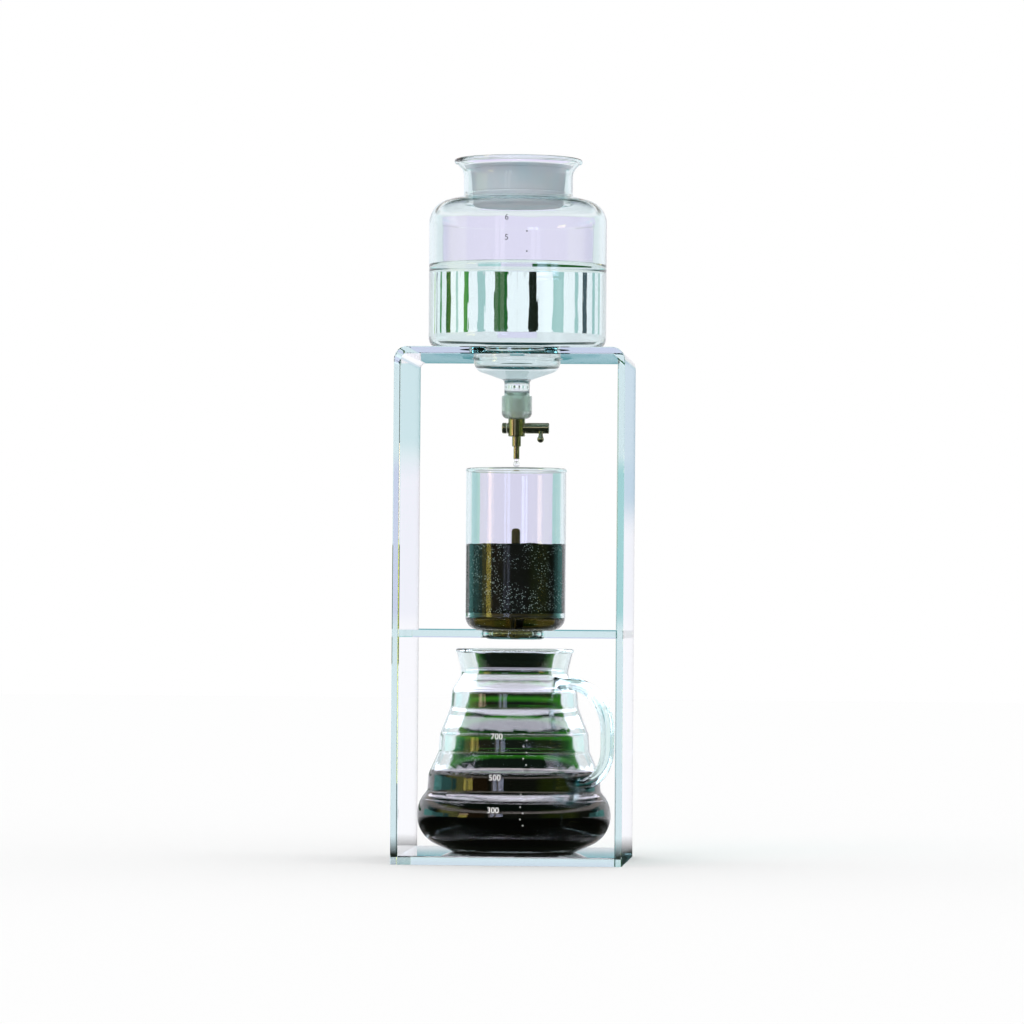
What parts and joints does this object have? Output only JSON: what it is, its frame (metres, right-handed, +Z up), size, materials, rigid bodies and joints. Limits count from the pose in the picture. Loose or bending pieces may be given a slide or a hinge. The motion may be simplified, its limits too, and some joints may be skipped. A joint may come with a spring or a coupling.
{
  "type": "cold drip coffee tower",
  "caption": "Tabletop cold drip coffee tower: clear bent stand with a glass water jar and metering tap above a coffee bowl with strainer and a waisted glass jug with handle.",
  "frame": {"origin": "on the table, at the middle of the stand's footprint, on the common axis of the jar, the bowl and the jug", "axes": "+Z up, front of the stand towards -Y, tap knob towards +X"},
  "size_m": [0.158, 0.15, 0.4875],
  "materials": {
    "acrylic": "clear cast acrylic, polished edges",
    "glass": "clear borosilicate glass",
    "silicone": "milky translucent silicone",
    "nickel": "satin nickel plate",
    "lid_plastic": "frosted grey polypropylene",
    "strainer_plastic": "dark brown polypropylene",
    "filter_cloth": "fine woven polyester",
    "seal": "black rubber",
    "slip_washer": "white slippery plastic"
  },
  "bodies": {
    "stand": {"stand_frame": "acrylic", "shelf_plate": "acrylic", "base_plate": "acrylic"},
    "jar": {"water_jar": "glass", "tap_joint": "silicone", "valve_body": "nickel", "drip_nozzle": "nickel"},
    "lid": {"jar_lid": "lid_plastic"},
    "spindle": {"valve_spindle": "nickel", "lever_pin": "nickel", "spindle_cap": "nickel", "spindle_washer": "slip_washer", "spindle_o_rings": "seal"},
    "bowl": {"coffee_bowl": "glass"},
    "strainer": {"strainer_disc": "strainer_plastic", "strainer_gasket": "silicone", "strainer_mesh": "filter_cloth", "strainer_stem": "strainer_plastic"},
    "server": {"server_jug": "glass", "server_handle": "glass"}
  },
  "joints": [
    {"name": "jar_lift", "type": "slide", "parent": "stand", "child": "jar", "axis": [0, 0, 1], "range_m": [0, 0.085]},
    {"name": "lid_lift", "type": "slide", "parent": "jar", "child": "lid", "axis": [0, 0, 1], "range_m": [0, 0.06]},
    {"name": "spindle_turn", "type": "hinge", "parent": "jar", "child": "spindle", "pos_m": [0, 0, 0.3003], "axis": [1, 0, 0], "range_deg": [-57, 123]},
    {"name": "bowl_lift", "type": "slide", "parent": "stand", "child": "bowl", "axis": [0, 0, 1], "range_m": [0, 0.025]},
    {"name": "strainer_lift", "type": "slide", "parent": "bowl", "child": "strainer", "axis": [0, 0, 1], "range_m": [0, 0.02]},
    {"name": "server_slide", "type": "slide", "parent": "stand", "child": "server", "axis": [0, -1, 0], "range_m": [0, 0.15]}
  ]
}
